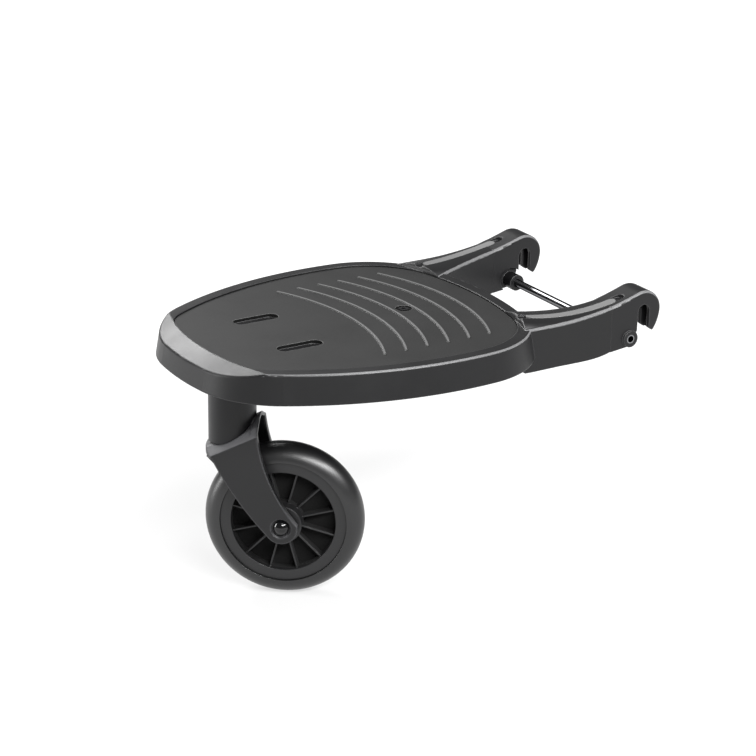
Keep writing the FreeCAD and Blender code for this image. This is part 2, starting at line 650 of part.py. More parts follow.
sections = []
for k in range(STATIONS):
    sections.append(arm_section(deck, f"arm_section_{k}", station("sizes.arm_root_y", "sizes.hook_rear", k)))
loft(deck, "AdditiveLoft", "arm", sections)

boss_recess_sketch = sketch_on(deck, "boss_recess_profile", "YZ_Plane", ARM_INNER)
ring(boss_recess_sketch, "sizes.rod_y", "sizes.rod_z", "sizes.boss_radius + sizes.boss_recess")
grow(deck, "Pocket", "boss_recess", boss_recess_sketch, "sizes.plate", True)

rod_boss_sketch = sketch_on(deck, "rod_boss_profile", "YZ_Plane", BOSS_INNER)
ring(rod_boss_sketch, "sizes.rod_y", "sizes.rod_z", "sizes.boss_radius")
BOSS_OUTER = f"({ARM_OUTER} + sizes.boss_stand)"
grow(deck, "Pad", "rod_boss", rod_boss_sketch, f"{BOSS_OUTER} - {BOSS_INNER}")

# Two pockets leave three plates round the hook, and two channels run back under the arm
GAP = "((sizes.arm_width - 3 * sizes.plate) / 2)"
SKIN = "(sizes.head_radius - sizes.plate)"
pocket_rear = "(sizes.hook_rear + sizes.plate)"
pocket_floor = "(sizes.rod_z + sizes.boss_radius + sizes.plate / 2)"
mouth_rear = "(-sizes.hook_radius + sizes.plate / 3)"
for k in range(2):
    inner = f"({ARM_INNER} + sizes.plate + {k} * ({GAP} + sizes.plate))"
    pocket_sketch = sketch_on(deck, f"plate_pocket_{k}_profile", "YZ_Plane", inner)
    loop(pocket_sketch, [
        (pocket_rear, pocket_floor),
        (pocket_rear, f"{arm_top_at(pocket_rear)} - sizes.plate"),
        ("-sizes.head_back", f"sqrt({SKIN} ^ 2 - sizes.head_back ^ 2)", "right", SKIN),
        (f"{SKIN} * cos{head_turn}", f"-{SKIN} * sin{head_turn}"),
        ("(sizes.tip_front + sizes.hook_radius) / 2", "sizes.tip_bottom - sizes.plate"),
        (mouth_rear, "sizes.tip_bottom - sizes.plate"),
        (mouth_rear, pocket_floor),
    ])
    grow(deck, "Pocket", f"plate_pocket_{k}", pocket_sketch, GAP, True)
    channel_sketch = sketch_on(deck, f"channel_{k}_plan", "XY_Plane", "sizes.arm_bottom")
    box_loop(channel_sketch, inner, "sizes.channel_rear", f"{inner} + {GAP}", "sizes.channel_front")
    grow(deck, "Pocket", f"channel_{k}", channel_sketch, "sizes.channel_roof - sizes.arm_bottom", True)

# The flared root is cored too
core_sketch = sketch_on(deck, "root_core_plan", "XY_Plane", "sizes.arm_bottom")
core_outer = f"({ARM_INNER} - sizes.plate / 2)"
loop(core_sketch, [
    (f"{arm_inner_at('sizes.core_rear')} + sizes.core_wall", "sizes.core_rear"),
    (core_outer, "sizes.core_rear"),
    (core_outer, "sizes.core_front"),
])
grow(deck, "Pocket", "root_core", core_sketch, "sizes.channel_roof - sizes.arm_bottom", True)

rod_bore_sketch = sketch_on(deck, "rod_bore_profile", "YZ_Plane", BOSS_INNER)
ring(rod_bore_sketch, "sizes.rod_y", "sizes.rod_z", "sizes.rod_radius + sizes.rod_gap")
grow(deck, "Pocket", "rod_bore", rod_bore_sketch, f"{BOSS_OUTER} - {BOSS_INNER}", True)

# Groove for the light strip on the arm's crown
GROOVE_REAR = "(sizes.inlay_rear_y - sizes.inlay_end_gap)"
GROOVE_FRONT = "(sizes.inlay_front_y + sizes.inlay_end_gap)"
STRIP_LOW = "sizes.inlay_sink + sizes.inlay_thickness"
grooves = []
for k in range(STATIONS):
    place = station(GROOVE_REAR, GROOVE_FRONT, k)
    grooves.append(strip_section(deck, f"groove_section_{k}", place, 1, "sizes.inlay_gap",
                                 STRIP_LOW, "-sizes.inlay_thickness"))
loft(deck, "SubtractiveLoft", "strip_groove", grooves)
for end, place in (("rear", GROOVE_REAR), ("front", GROOVE_FRONT)):
    floor = f"({arm_top_at(place)} + {crown_at(place)} - ({STRIP_LOW}))"
    end_sketch = sketch_on(deck, f"groove_{end}_plan", "XY_Plane", floor)
    ring(end_sketch, strip_middle(place), place, "sizes.inlay_width / 2 + sizes.inlay_gap")
    grow(deck, "Pocket", f"groove_{end}", end_sketch, "sizes.head_radius", True)

# The left arm repeats every step of the right one
steps = deck.Group[deck.Group.index(hook_pad):]
mirror(deck, "left_arm", [step for step in steps if step.isDerivedFrom("PartDesign::Feature")], "YZ_Plane")

# Both arms' roots are rounded down to the rim along the tread panel's front edge
nose_sketch = sketch_on(deck, "arm_nose", "YZ_Plane")
NOSE_RADIUS = "((sizes.nose_length ^ 2 + sizes.nose_height ^ 2) / (2 * sizes.nose_height))"
nose_rear = "(sizes.front_y - sizes.rim_front)"
nose_top = "(sizes.rim_top + 2 * sizes.nose_height)"
loop(nose_sketch, [
    (nose_rear, "sizes.rim_top", "right", NOSE_RADIUS),
    (f"{nose_rear} + sizes.nose_length", "sizes.rim_top + sizes.nose_height"),
    (f"{nose_rear} + sizes.nose_length", nose_top),
    (f"{nose_rear} - 4 * sizes.nose_length", nose_top),
    (f"{nose_rear} - 4 * sizes.nose_length", "sizes.rim_top"),
])
spin_axis(nose_sketch, "(sizes.front_y - sizes.front_radius)")
spin(deck, "Groove", "arm_noses", nose_sketch, "Axis0")

# Bed for the tread panel, slots and screw holes
bed_sketch = sketch_on(deck, "panel_bed_plan", "XY_Plane", RECESS_FLOOR)
deck_outline(bed_sketch, "sizes.band_width", "sizes.rim_width", "sizes.rim_front",
             "sizes.panel_rear_corner", "sizes.panel_front_corner")
grow(deck, "Pocket", "panel_bed", bed_sketch, f"2 * sizes.rim_top - {RECESS_FLOOR}", True)

slot_sketch = sketch_on(deck, "deck_slots_plan", "XY_Plane", "sizes.skirt_bottom")
for side in ("-1", "1"):
    slot_loop(slot_sketch, f"({side} * sizes.slot_x)", "sizes.slot_y",
              "sizes.slot_length", "sizes.slot_width")
grow(deck, "Pocket", "deck_slots", slot_sketch, "sizes.rim_top - sizes.skirt_bottom", True)

pilot_sketch = sketch_on(deck, "tread_pilot_plan", "XY_Plane", TREAD_BOTTOM)
ring(pilot_sketch, "0", "sizes.tread_screw_y", "sizes.tread_shank_radius + sizes.screw_fit")
grow(deck, "Pocket", "tread_pilot", pilot_sketch, f"sizes.rim_top - {TREAD_BOTTOM}", True)

screw_pilot_sketch = sketch_on(deck, "screw_pilot_plan", "XY_Plane", "sizes.flange_top")
screw_count = int(value("sizes.screw_count"))
for k in range(screw_count):
    turn = f"(({k} + 0.5) * 360 deg / {screw_count})"
    ring(screw_pilot_sketch, f"sizes.screw_circle * cos{turn}",
         f"sizes.swivel_y + sizes.screw_circle * sin{turn}", "sizes.screw_radius + sizes.screw_fit")
grow(deck, "Pocket", "screw_pilots", screw_pilot_sketch, "sizes.screw_grip + sizes.screw_fit", True)

# Tread panel: matte plate with six raised arcs, lying in its bed with a narrow seam round it

tread = new_body("tread_panel")
tread_sketch = sketch_on(tread, "tread_plan", "XY_Plane", RECESS_FLOOR)
deck_outline(tread_sketch, "(sizes.band_width + sizes.seam)", "(sizes.rim_width + sizes.seam)",
             "(sizes.rim_front + sizes.seam)", "sizes.panel_rear_corner - sizes.seam",
             "sizes.panel_front_corner - sizes.seam")
grow(tread, "Pad", "tread_plate", tread_sketch, "sizes.panel_thickness")

rib_sketch = sketch_on(tread, "tread_rib_plan", "XY_Plane", "sizes.panel_top")
rib_end = "(sizes.rib_first_y - sizes.rib_radius + sqrt(sizes.rib_radius ^ 2 - sizes.rib_half_chord ^ 2))"
loop(rib_sketch, [
    ("sizes.rib_half_chord", f"{rib_end} + sizes.rib_width / 2", "left", "sizes.rib_radius"),
    ("-sizes.rib_half_chord", f"{rib_end} + sizes.rib_width / 2"),
    ("-sizes.rib_half_chord", f"{rib_end} - sizes.rib_width / 2", "right", "sizes.rib_radius"),
    ("sizes.rib_half_chord", f"{rib_end} - sizes.rib_width / 2"),
])
rib_pad = grow(tread, "Pad", "tread_rib", rib_sketch, "sizes.rib_height")
ribs = tread.newObject("PartDesign::LinearPattern", "tread_ribs")
ribs.Originals = [rib_pad]
ribs.Direction = (plane_of(tread, "Y_Axis"), [""])
ribs.setExpression("Length", "sizes.rib_pitch * (sizes.rib_count - 1)")
ribs.setExpression("Occurrences", "sizes.rib_count")
tread.Tip = ribs

tread_slot_sketch = sketch_on(tread, "tread_slots_plan", "XY_Plane", RECESS_FLOOR)
for side in ("-1", "1"):
    slot_loop(tread_slot_sketch, f"({side} * sizes.slot_x)", "sizes.slot_y",
              "sizes.slot_length", "sizes.slot_width")
ring(tread_slot_sketch, "0", "sizes.tread_screw_y", "sizes.tread_shank_radius + sizes.screw_fit")
grow(tread, "Pocket", "tread_slots", tread_slot_sketch, "sizes.panel_thickness", True)

recess_sketch = sketch_on(tread, "tread_recess_plan", "XY_Plane", "sizes.panel_top")
ring(recess_sketch, "0", "sizes.tread_screw_y", "sizes.tread_recess_radius")
grow(tread, "Pocket", "tread_recess", recess_sketch, "sizes.tread_recess_depth")

# Tread screw: flat head with a cross, below the tread

tread_seat = "(sizes.panel_top - sizes.tread_recess_depth)"
tread_head = f"({tread_seat} + sizes.tread_head_height)"
tread_screw, tread_screw_turned = turned("tread_screw", [
    ("0", TREAD_BOTTOM),
    ("sizes.tread_shank_radius", TREAD_BOTTOM),
    ("sizes.tread_shank_radius", tread_seat),
    ("sizes.tread_head_radius", tread_seat),
    ("sizes.tread_head_radius", tread_head),
    ("0", tread_head),
], "V_Axis")
tread_screw.setExpression("Placement.Base.y", "sizes.tread_screw_y")
cross_sketch = sketch_on(tread_screw, "tread_cross_plan", "XY_Plane", tread_head)
bar = "sizes.cross_half_width"
arm = "sizes.cross_reach"
loop(cross_sketch, [
    (bar, bar), (bar, arm), (f"-{bar}", arm), (f"-{bar}", bar),
    (f"-{arm}", bar), (f"-{arm}", f"-{bar}"), (f"-{bar}", f"-{bar}"), (f"-{bar}", f"-{arm}"),
    (bar, f"-{arm}"), (bar, f"-{bar}"), (arm, f"-{bar}"), (arm, bar),
])
grow(tread_screw, "Pocket", "tread_cross", cross_sketch, "sizes.tread_head_height")

# Light strips: the groove's own form, narrower and shorter, with round ends

for side, label in (("1", "arm_inlay_right"), ("-1", "arm_inlay_left")):
    strip = new_body(label)
    strips = []
    for k in range(STATIONS):
        place = station(GROOVE_REAR, GROOVE_FRONT, k)
        strips.append(strip_section(strip, f"{label}_section_{k}", place, side, "0",
                                    STRIP_LOW, "sizes.inlay_sink"))
    loft(strip, "AdditiveLoft", f"{label}_strip", strips)
    for end, edge, stop, turn in (
        ("rear", "sizes.inlay_rear_y", GROOVE_REAR, "right"),
        ("front", "sizes.inlay_front_y", GROOVE_FRONT, "left"),
    ):
        middle = f"({side}) * {strip_middle(edge)}"
        inward = "+" if end == "rear" else "-"
        outward = "-" if end == "rear" else "+"
        half = "(sizes.inlay_width / 2 + sizes.inlay_gap)"
        spring = f"{edge} {inward} {half}"
        end_sketch = sketch_on(strip, f"{label}_{end}_plan", "XY_Plane", "sizes.rim_top")
        loop(end_sketch, [
            (f"{middle} + {half}", spring, turn, half),
            (middle, edge, turn, half),
            (f"{middle} - {half}", spring),
            (f"{middle} - sizes.inlay_width", spring),
            (f"{middle} - sizes.inlay_width", f"{stop} {outward} sizes.inlay_width"),
            (f"{middle} + sizes.inlay_width", f"{stop} {outward} sizes.inlay_width"),
            (f"{middle} + sizes.inlay_width", spring),
        ])
        grow(strip, "Pocket", f"{label}_{end}_end", end_sketch, "sizes.head_radius + sizes.rim_top", True)

# Cross rod with tapped ends, and the socket screws that close its bosses

ROD_END = f"({BOSS_OUTER} - sizes.rod_end_depth)"
THREAD_END = f"({ROD_END} - sizes.rod_thread_length)"
rod, rod_turned = turned("cross_rod", [
    (f"-{THREAD_END}", "0"),
    (f"-{THREAD_END}", "sizes.rod_thread_radius"),
    (f"-{ROD_END}", "sizes.rod_thread_radius"),
    (f"-{ROD_END}", "sizes.rod_radius"),
    (ROD_END, "sizes.rod_radius"),
    (ROD_END, "sizes.rod_thread_radius"),
    (THREAD_END, "sizes.rod_thread_radius"),
    (THREAD_END, "0"),
], "H_Axis")
screw_tip = f"({THREAD_END} + sizes.rod_thread_radius)"
end_screws, end_screw_turned = turned("rod_end_screws", [
    (screw_tip, "0"),
    (BOSS_OUTER, "0"),
    (BOSS_OUTER, "sizes.rod_radius"),
    (ROD_END, "sizes.rod_radius"),
    (ROD_END, "sizes.rod_thread_radius - sizes.rod_gap"),
    (screw_tip, "sizes.rod_thread_radius - sizes.rod_gap"),
], "H_Axis")
socket_sketch = sketch_on(end_screws, "rod_socket_profile", "YZ_Plane", BOSS_OUTER)
hexagon_loop(socket_sketch, "sizes.socket_radius")
socket = grow(end_screws, "Pocket", "rod_socket", socket_sketch, "sizes.socket_depth")
mirror(end_screws, "rod_end_screw_pair", [end_screw_turned, socket], "YZ_Plane")
for body in (rod, end_screws):
    body.setExpression("Placement.Base.y", "sizes.rod_y")
    body.setExpression("Placement.Base.z", "sizes.rod_z")

# Swivel housing: flange under the deck, stem tube, seats for two bushes, well for the nut

FLANGE_BOTTOM = "(sizes.flange_top - sizes.flange_thickness)"
WELL_FLOOR = "(sizes.flange_top - sizes.nut_well_depth)"
UPPER_LOW = f"({WELL_FLOOR} - sizes.bush_length)"
LOWER_HIGH = "(sizes.tube_bottom + sizes.bush_length)"
BUSH_SEAT = "sizes.bush_radius + sizes.bush_fit"
bore = "(sizes.pin_radius + sizes.bush_radius) / 2"
housing, housing_turned = turned("swivel_housing", [
    (BUSH_SEAT, "sizes.tube_bottom"),
    ("sizes.tube_radius", "sizes.tube_bottom"),
    ("sizes.tube_radius", FLANGE_BOTTOM),
    ("sizes.flange_radius", FLANGE_BOTTOM),
    ("sizes.flange_radius", "sizes.flange_top"),
    ("sizes.nut_well_radius", "sizes.flange_top"),
    ("sizes.nut_well_radius", WELL_FLOOR),
    (BUSH_SEAT, WELL_FLOOR),
    (BUSH_SEAT, UPPER_LOW),
    (bore, UPPER_LOW),
    (bore, LOWER_HIGH),
    (BUSH_SEAT, LOWER_HIGH),
], "V_Axis")
flange_hole_sketch = sketch_on(housing, "flange_holes_plan", "XY_Plane", FLANGE_BOTTOM)
for k in range(screw_count):
    turn = f"(({k} + 0.5) * 360 deg / {screw_count})"
    ring(flange_hole_sketch, f"sizes.screw_circle * cos{turn}", f"sizes.screw_circle * sin{turn}",
         "sizes.screw_radius + sizes.screw_fit")
grow(housing, "Pocket", "flange_holes", flange_hole_sketch, "sizes.flange_thickness", True)
at_swivel(housing)

# Four housing screws, heads below the flange

screws = new_body("housing_screws")
screw_sketch = sketch_on(screws, "housing_screw_profile", "XZ_Plane")
head_low = f"{FLANGE_BOTTOM} - sizes.screw_head_height"
shank = "sizes.screw_circle + sizes.screw_radius"
loop(screw_sketch, [
    ("sizes.screw_circle", head_low),
    ("sizes.screw_circle + sizes.screw_head_radius", head_low),
    ("sizes.screw_circle + sizes.screw_head_radius", FLANGE_BOTTOM),
    (shank, FLANGE_BOTTOM),
    (shank, "sizes.flange_top + sizes.screw_grip"),
    ("sizes.screw_circle", "sizes.flange_top + sizes.screw_grip"),
])
axis_foot = Vector(value("sizes.screw_circle"), 0, 0)
axis_line = Part.LineSegment(axis_foot, axis_foot + Vector(0, AXIS_LENGTH, 0))
screw_axis = screw_sketch.addGeometry(axis_line, True)
screw_sketch.addConstraint(Sketcher.Constraint("Vertical", screw_axis))
bind(screw_sketch, "sizes.screw_circle", "DistanceX", -1, 1, screw_axis, 1)
bind(screw_sketch, "0", "DistanceY", -1, 1, screw_axis, 1)
bind(screw_sketch, "sizes.screw_grip", "DistanceY", screw_axis, 1, screw_axis, 2)
screw_turned = spin(screws, "Revolution", "housing_screw_turned", screw_sketch, "Axis0")
screw_ring = screws.newObject("PartDesign::PolarPattern", "housing_screw_ring")
screw_ring.Originals = [screw_turned]
screw_ring.Axis = (plane_of(screws, "Z_Axis"), [""])
screw_ring.Angle = 360
screw_ring.setExpression("Occurrences", "sizes.screw_count")
screws.Tip = screw_ring
at_swivel(screws)
screws.Placement.Rotation = FreeCAD.Rotation(Vector(0, 0, 1), 180 / screw_count)
screws.setExpression("Placement.Rotation.Angle", "180 deg / sizes.screw_count")

# Bushes for the kingpin

PIN_BORE = "sizes.pin_radius + sizes.running_gap"
upper_bush, upper_turned = turned("upper_bush", ring_profile(
    PIN_BORE, "sizes.bush_radius", UPPER_LOW, WELL_FLOOR), "V_Axis")
lower_bush, lower_turned = turned("lower_bush", ring_profile(
    PIN_BORE, "sizes.bush_radius", "sizes.tube_bottom", LOWER_HIGH), "V_Axis")
at_swivel(upper_bush)
at_swivel(lower_bush)

# Kingpin with its washer and nut, and the thrust washer under the tube

CROWN_SEAT = "(sizes.tube_bottom - sizes.thrust_thickness)"
WASHER_TOP = f"({WELL_FLOOR} + sizes.pin_washer_thickness)"
NUT_TOP = f"({WASHER_TOP} + sizes.nut_height)"
kingpin, kingpin_turned = turned("kingpin", [
    ("0", f"{CROWN_SEAT} - sizes.pin_grip"),
    ("sizes.pin_radius", f"{CROWN_SEAT} - sizes.pin_grip"),
    ("sizes.pin_radius", f"{NUT_TOP} + sizes.pin_end / 2"),
    ("sizes.pin_radius - sizes.pin_end / 2", f"{NUT_TOP} + sizes.pin_end"),
    ("0", f"{NUT_TOP} + sizes.pin_end"),
], "V_Axis")
pin_washer, pin_washer_turned = turned("kingpin_washer", ring_profile(
    PIN_BORE, "sizes.pin_washer_radius", WELL_FLOOR, WASHER_TOP), "V_Axis")
thrust_washer, thrust_turned = turned("thrust_washer", ring_profile(
    PIN_BORE, "sizes.thrust_radius", CROWN_SEAT, "sizes.tube_bottom"), "V_Axis")
nut = new_body("kingpin_nut")
nut_sketch = sketch_on(nut, "nut_plan", "XY_Plane", WASHER_TOP)
hexagon_loop(nut_sketch, "sizes.nut_radius")
ring(nut_sketch, "0", "0", PIN_BORE)
grow(nut, "Pad", "nut_block", nut_sketch, "sizes.nut_height")
for body in (kingpin, pin_washer, thrust_washer, nut):
    on_caster(body)

# Fork: crown round the tube's foot, arch behind it, two raked legs. Across is X, trailing is Y

fork = new_body("fork")
WIDE = "sizes.fork_half_width"
crown_sketch = sketch_on(fork, "crown_plan", "XY_Plane", "sizes.crown_base")
loop(crown_sketch, [
    (f"-{WIDE}", "sizes.crown_shoulder", "left", "sizes.crown_bow"),
    (WIDE, "sizes.crown_shoulder"),
    (WIDE, "sizes.crown_rear"),
    (f"-{WIDE}", "sizes.crown_rear"),
])
grow(fork, "Pad", "crown", crown_sketch, "sizes.arch_top - sizes.crown_base")

leg_sketch = sketch_on(fork, "leg_profile", "YZ_Plane", f"-{WIDE}")
lead = "sizes.leg_lead_angle * 1 deg"
tail = "sizes.leg_tail_angle * 1 deg"
loop(leg_sketch, [
    ("sizes.crown_shoulder", "sizes.leg_shoulder_z", "left", "sizes.leg_front_bow"),
    (f"sizes.trail + sizes.leg_end_radius * cos({lead})",
     f"sizes.axle_z + sizes.leg_end_radius * sin({lead})", "left", "sizes.leg_end_radius"),
    (f"sizes.trail + sizes.leg_end_radius * cos({tail})",
     f"sizes.axle_z + sizes.leg_end_radius * sin({tail})", "right", "sizes.leg_rear_bow"),
    ("sizes.crown_rear", "sizes.leg_neck_z"),
])
grow(fork, "Pad", "legs", leg_sketch, f"2 * {WIDE}")

# The crown's top: an arch that slopes down to the front, cut from just behind the trailing face
KNEE = "((sizes.arch_knee_x ^ 2 + sizes.arch_knee_drop ^ 2) / (2 * sizes.arch_knee_drop))"
knee_z = "sizes.arch_top - sizes.arch_knee_drop"
arch_sketch = sketch_on(fork, "arch_profile", "XZ_Plane", "-sizes.crown_rear - sizes.arch_wall")
arch_sketch.setExpression("AttachmentOffset.Base.y", "sizes.arch_wall * sizes.side_slope")
loop(arch_sketch, [
    (f"-{WIDE} - sizes.arch_wall", "sizes.arch_spring"),
    (f"-{WIDE}", "sizes.arch_spring"),
    ("-sizes.arch_knee_x", knee_z, "right", KNEE),
    ("0", "sizes.arch_top", "right", KNEE),
    ("sizes.arch_knee_x", knee_z),
    (WIDE, "sizes.arch_spring"),
    (f"{WIDE} + sizes.arch_wall", "sizes.arch_spring"),
    (f"{WIDE} + sizes.arch_wall", "sizes.arch_top - 2 * sizes.arch_spring"),
    (f"-{WIDE} - sizes.arch_wall", "sizes.arch_top - 2 * sizes.arch_spring"),
])
arch_cut = grow(fork, "Pocket", "arch_cut", arch_sketch, "4 * sizes.crown_rear")
arch_cut.UseCustomVector = True
arch_cut.AlongSketchNormal = False
arch_cut.Direction = Vector(0, -1, -value("sizes.side_slope"))
arch_cut.setExpression("Direction.z", "-sizes.side_slope")

ledge_sketch = sketch_on(fork, "ledge_profile", "YZ_Plane", f"-{WIDE}")
ledge_front = ("(sizes.crown_shoulder - sizes.crown_bow"
               " + sqrt(sizes.crown_bow ^ 2 - sizes.fork_half_width ^ 2))")
loop(ledge_sketch, [
    (ledge_front, "sizes.ledge_front"),
    ("sizes.crown_rear", "sizes.arch_top"),
    (ledge_front, "sizes.arch_top"),
])
grow(fork, "Pocket", "ledge_cut", ledge_sketch, f"2 * {WIDE}", True)

# The crown's front runs on as an apron ahead of the tyre; then room for the wheel, tube, pins and caps
INNER_FACE = "(sizes.fork_half_width - sizes.leg_thickness)"
apron_sketch = sketch_on(fork, "apron_profile", "YZ_Plane", f"-{INNER_FACE}")
loop(apron_sketch, [
    ("sizes.apron_front", "sizes.crown_base"),
    ("sizes.apron_foot", "sizes.crown_base - sizes.apron_drop"),
    ("0", "sizes.crown_base - sizes.apron_drop"),
    ("0", "sizes.crown_base"),
])
grow(fork, "Pad", "apron", apron_sketch, f"2 * {INNER_FACE}")

room_sketch = sketch_on(fork, "wheel_room_profile", "YZ_Plane", f"-{INNER_FACE}")
ring(room_sketch, "sizes.trail", "sizes.axle_z", "sizes.wheel_radius + sizes.wheel_gap")
grow(fork, "Pocket", "wheel_room", room_sketch, f"2 * {INNER_FACE}", True)

tube_sketch = sketch_on(fork, "tube_hole_plan", "XY_Plane", CROWN_SEAT)
ring(tube_sketch, "0", "0", "sizes.tube_radius + sizes.tube_gap")
grow(fork, "Pocket", "tube_hole", tube_sketch, f"sizes.arch_top - {CROWN_SEAT}", True)

pin_sketch = sketch_on(fork, "pin_hole_plan", "XY_Plane", CROWN_SEAT)
ring(pin_sketch, "0", "0", "sizes.pin_radius + sizes.axle_fit")
grow(fork, "Pocket", "pin_hole", pin_sketch, "sizes.pin_grip")

axle_sketch = sketch_on(fork, "axle_hole_profile", "YZ_Plane", f"-{WIDE}")
ring(axle_sketch, "sizes.trail", "sizes.axle_z", "sizes.axle_radius + sizes.axle_fit")
grow(fork, "Pocket", "axle_hole", axle_sketch, f"2 * {WIDE}", True)

well_sketch = sketch_on(fork, "cap_well_profile", "YZ_Plane", WIDE)
ring(well_sketch, "sizes.trail", "sizes.axle_z", "sizes.cap_well_radius")
cap_well = grow(fork, "Pocket", "cap_well", well_sketch, "sizes.cap_well_depth")
mirror(fork, "cap_wells", [cap_well], "YZ_Plane")

# Arch in the trailing face, cut from behind the legs' trailing edges and open to the tube and the wheel room
back_sketch = sketch_on(fork, "arch_recess_profile", "XZ_Plane", "-sizes.crown_rear - sizes.leg_thickness")
back_wide = f"({WIDE} - sizes.leg_thickness)"
back_top = "(sizes.arch_top - sizes.arch_wall)"
loop(back_sketch, [
    (f"-{back_wide}", "sizes.leg_shoulder_z"),
    (back_wide, "sizes.leg_shoulder_z"),
    (back_wide, "sizes.arch_spring"),
    ("sizes.arch_knee_x", f"{back_top} - sizes.arch_knee_drop", "left", KNEE),
    ("0", back_top, "left", KNEE),
    ("-sizes.arch_knee_x", f"{back_top} - sizes.arch_knee_drop"),
    (f"-{back_wide}", "sizes.arch_spring"),
])
grow(fork, "Pocket", "arch_recess", back_sketch, "sizes.arch_depth + sizes.leg_thickness", True)
on_caster(fork)

# Axle pin, its domed caps, and the washers beside the hub

CAP_SEAT = "(sizes.fork_half_width - sizes.cap_well_depth)"
AXLE_END = f"({CAP_SEAT} + sizes.axle_in_cap)"
axle_pin, axle_turned = turned("axle_pin", [
    (f"-{AXLE_END}", "0"),
    (AXLE_END, "0"),
    (AXLE_END, "sizes.axle_radius"),
    (f"-{AXLE_END}", "sizes.axle_radius"),
], "H_Axis")

dome = "(sizes.cap_height - sizes.cap_flat)"
caps, cap_turned = turned("axle_caps", [
    (CAP_SEAT, "sizes.axle_radius + sizes.axle_fit"),
    (AXLE_END, "sizes.axle_radius + sizes.axle_fit"),
    (AXLE_END, "0"),
    (f"{CAP_SEAT} + sizes.cap_height", "0", "left", f"(sizes.cap_radius ^ 2 + {dome} ^ 2) / (2 * {dome})"),
    (f"{CAP_SEAT} + sizes.cap_flat", "sizes.cap_radius"),
    (CAP_SEAT, "sizes.cap_radius"),
], "H_Axis")
mirror(caps, "axle_cap_pair", [cap_turned], "YZ_Plane")

washers, washer_turned = turned("wheel_washers", sleeve_profile(
    "sizes.axle_radius + sizes.running_gap", "sizes.washer_radius", "sizes.hub_half + sizes.washer_play",
    INNER_FACE), "H_Axis")
mirror(washers, "wheel_washer_pair", [washer_turned], "YZ_Plane")

# Wheel: rubber tyre, ribbed plastic rim, two bushes

TYRE_BORE = "(sizes.tyre_seat + sizes.tyre_fit)"
tyre_half = (f"sqrt(sizes.tyre_section ^ 2 - ({TYRE_BORE} - sizes.wheel_radius + sizes.tyre_section) ^ 2)")
tyre, tyre_turned = turned("tyre", [
    (f"-{tyre_half}", TYRE_BORE),
    (tyre_half, TYRE_BORE, "left", "sizes.tyre_section"),
    ("0", "sizes.wheel_radius", "left", "sizes.tyre_section"),
], "H_Axis")

HUB_BORE = "sizes.wheel_bush_radius + sizes.bush_fit"
wheel, wheel_turned = turned("wheel_rim", [
    ("-sizes.hub_half", HUB_BORE),
    ("sizes.hub_half", HUB_BORE),
    ("sizes.hub_half", "sizes.hub_radius"),
    ("sizes.web_half", "sizes.hub_radius"),
    ("sizes.web_half", "sizes.rim_inner"),
    ("sizes.rim_half", "sizes.rim_inner"),
    ("sizes.rim_half", "sizes.tyre_seat"),
    ("-sizes.rim_half", "sizes.tyre_seat"),
    ("-sizes.rim_half", "sizes.rim_inner"),
    ("-sizes.web_half", "sizes.rim_inner"),
    ("-sizes.web_half", "sizes.hub_radius"),
    ("-sizes.hub_half", "sizes.hub_radius"),
], "H_Axis")
spoke_sketch = sketch_on(wheel, "spoke_profile", "YZ_Plane", "-sizes.spoke_half")
spoke_sketch.AttachmentOffset = FreeCAD.Placement(
    Vector(0, 0, value("-sizes.spoke_half")), FreeCAD.Rotation(Vector(0, 0, 1), value("sizes.spoke_turn")))
spoke_sketch.setExpression("AttachmentOffset.Rotation.Angle", "sizes.spoke_turn * 1 deg")
box_loop(spoke_sketch, "-sizes.spoke_thickness / 2", "sizes.hub_radius - sizes.spoke_thickness",
         "sizes.spoke_thickness / 2", "sizes.rim_inner + sizes.spoke_thickness")
spoke = grow(wheel, "Pad", "spoke", spoke_sketch, "2 * sizes.spoke_half")
spokes = wheel.newObject("PartDesign::PolarPattern", "spokes")
spokes.Originals = [spoke]
spokes.Axis = (plane_of(wheel, "X_Axis"), [""])
spokes.Angle = 360
spokes.setExpression("Occurrences", "sizes.spoke_count")
wheel.Tip = spokes

wheel_bushes, wheel_bush_turned = turned("wheel_bushes", sleeve_profile(
    "sizes.axle_radius + sizes.running_gap", "sizes.wheel_bush_radius",
    "sizes.hub_half - sizes.wheel_bush_length", "sizes.hub_half"), "H_Axis")
mirror(wheel_bushes, "wheel_bush_pair", [wheel_bush_turned], "YZ_Plane")

for body in (axle_pin, caps, washers, tyre, wheel, wheel_bushes):
    on_axle(body)

# Check every object, then write one file for each body

doc.recompute()
for item in doc.Objects:
    if "Invalid" in item.State or "Error" in item.State:
        raise RuntimeError(f"{item.Name} failed: {item.State}")
os.makedirs("parts", exist_ok=True)
for item in doc.Objects:
    if item.TypeId == "PartDesign::Body":
        if item.Shape.isNull() or not item.Shape.isValid():
            raise RuntimeError(f"{item.Label} has no valid shape")
        item.Shape.exportStep(f"parts/{item.Label}.step")
        print(item.Label, len(item.Shape.Solids), round(item.Shape.Volume, 1))
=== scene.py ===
import json
import math
import bpy
import numpy as np
from mathutils import Matrix, Vector


